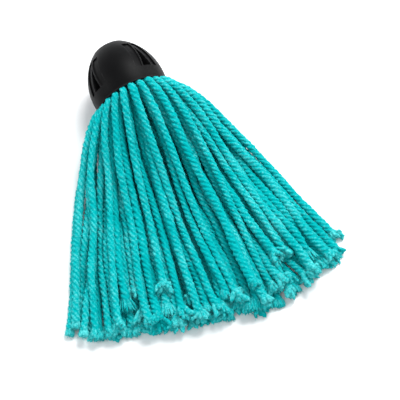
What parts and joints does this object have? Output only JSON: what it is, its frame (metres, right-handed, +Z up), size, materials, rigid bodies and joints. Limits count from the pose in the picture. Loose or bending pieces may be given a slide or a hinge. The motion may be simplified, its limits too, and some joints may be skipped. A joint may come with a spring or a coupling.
{
  "type": "string mop head",
  "caption": "String mop head: a black egg-shaped plastic cap with a threaded handle socket and a fan of twisted turquoise yarn strings with frayed ends.",
  "frame": {"origin": "centre of the handle socket's mouth, at the flat top of the cap", "axes": "+Y from the strings towards the cap, +Z up from the floor the mop head lies on, +X across the fan; the cap's own axis is tipped 7.5 degrees up from +Y"},
  "size_m": [0.2086, 0.2656, 0.0629],
  "materials": {
    "cap_plastic": "satin moulded black polypropylene",
    "socket_plastic": "matt moulded dark grey",
    "hub_plastic": "matt natural plastic",
    "screw_steel": "zinc-plated steel",
    "wire_steel": "galvanised wire",
    "yarn": "twisted multi-ply turquoise yarn, matt and fuzzy"
  },
  "bodies": {
    "head": {"cap_shell": "cap_plastic", "handle_socket": "socket_plastic", "yarn_core": "hub_plastic", "core_screw": "screw_steel", "clamp_ring": "wire_steel", "neck_tie": "wire_steel", "yarn_folds": "yarn"},
    "lock_01": {"yarn_01": "yarn", "yarn_02": "yarn", "yarn_03": "yarn"},
    "lock_02": {"yarn_04": "yarn", "yarn_05": "yarn", "yarn_06": "yarn"},
    "lock_03": {"yarn_07": "yarn", "yarn_08": "yarn", "yarn_09": "yarn"},
    "lock_04": {"yarn_10": "yarn", "yarn_11": "yarn", "yarn_12": "yarn"},
    "lock_05": {"yarn_13": "yarn", "yarn_14": "yarn", "yarn_15": "yarn"},
    "lock_06": {"yarn_16": "yarn", "yarn_17": "yarn", "yarn_18": "yarn"},
    "lock_07": {"yarn_19": "yarn", "yarn_20": "yarn", "yarn_21": "yarn"},
    "lock_08": {"yarn_22": "yarn", "yarn_23": "yarn", "yarn_24": "yarn"},
    "lock_09": {"yarn_25": "yarn", "yarn_26": "yarn", "yarn_27": "yarn"},
    "lock_10": {"yarn_28": "yarn", "yarn_29": "yarn", "yarn_30": "yarn"},
    "lock_11": {"yarn_31": "yarn", "yarn_32": "yarn", "yarn_33": "yarn"},
    "lock_12": {"yarn_34": "yarn", "yarn_35": "yarn", "yarn_36": "yarn"}
  },
  "joints": [
    {"name": "lock_01_swing", "type": "hinge", "parent": "head", "child": "lock_01", "pos_m": [0.0255, -0.05106, 0.00017], "axis": [-0.2588, -0.1261, 0.9577], "range_deg": [0, 60]},
    {"name": "lock_02_swing", "type": "hinge", "parent": "head", "child": "lock_02", "pos_m": [0.01867, -0.0526, 0.0119], "axis": [-0.7071, -0.0923, 0.7011], "range_deg": [0, 60]},
    {"name": "lock_03_swing", "type": "hinge", "parent": "head", "child": "lock_03", "pos_m": [0.00683, -0.0535, 0.01868], "axis": [-0.9659, -0.0338, 0.2566], "range_deg": [0, 60]},
    {"name": "lock_04_swing", "type": "hinge", "parent": "head", "child": "lock_04", "pos_m": [-0.00683, -0.0535, 0.01868], "axis": [-0.9659, 0.0338, -0.2566], "range_deg": [0, 60]},
    {"name": "lock_05_swing", "type": "hinge", "parent": "head", "child": "lock_05", "pos_m": [-0.01867, -0.0526, 0.0119], "axis": [-0.7071, 0.0923, -0.7011], "range_deg": [0, 60]},
    {"name": "lock_06_swing", "type": "hinge", "parent": "head", "child": "lock_06", "pos_m": [-0.0255, -0.05106, 0.00017], "axis": [-0.2588, 0.1261, -0.9577], "range_deg": [0, 60]},
    {"name": "lock_07_swing", "type": "hinge", "parent": "head", "child": "lock_07", "pos_m": [-0.0255, -0.04928, -0.01338], "axis": [0.2588, 0.1261, -0.9577], "range_deg": [0, 60]},
    {"name": "lock_08_swing", "type": "hinge", "parent": "head", "child": "lock_08", "pos_m": [-0.01867, -0.04773, -0.02511], "axis": [0.7071, 0.0923, -0.7011], "range_deg": [0, 60]},
    {"name": "lock_09_swing", "type": "hinge", "parent": "head", "child": "lock_09", "pos_m": [-0.00683, -0.04684, -0.03189], "axis": [0.9659, 0.0338, -0.2566], "range_deg": [0, 60]},
    {"name": "lock_10_swing", "type": "hinge", "parent": "head", "child": "lock_10", "pos_m": [0.00683, -0.04684, -0.03189], "axis": [0.9659, -0.0338, 0.2566], "range_deg": [0, 60]},
    {"name": "lock_11_swing", "type": "hinge", "parent": "head", "child": "lock_11", "pos_m": [0.01867, -0.04773, -0.02511], "axis": [0.7071, -0.0923, 0.7011], "range_deg": [0, 60]},
    {"name": "lock_12_swing", "type": "hinge", "parent": "head", "child": "lock_12", "pos_m": [0.0255, -0.04928, -0.01338], "axis": [0.2588, -0.1261, 0.9577], "range_deg": [0, 60]}
  ]
}
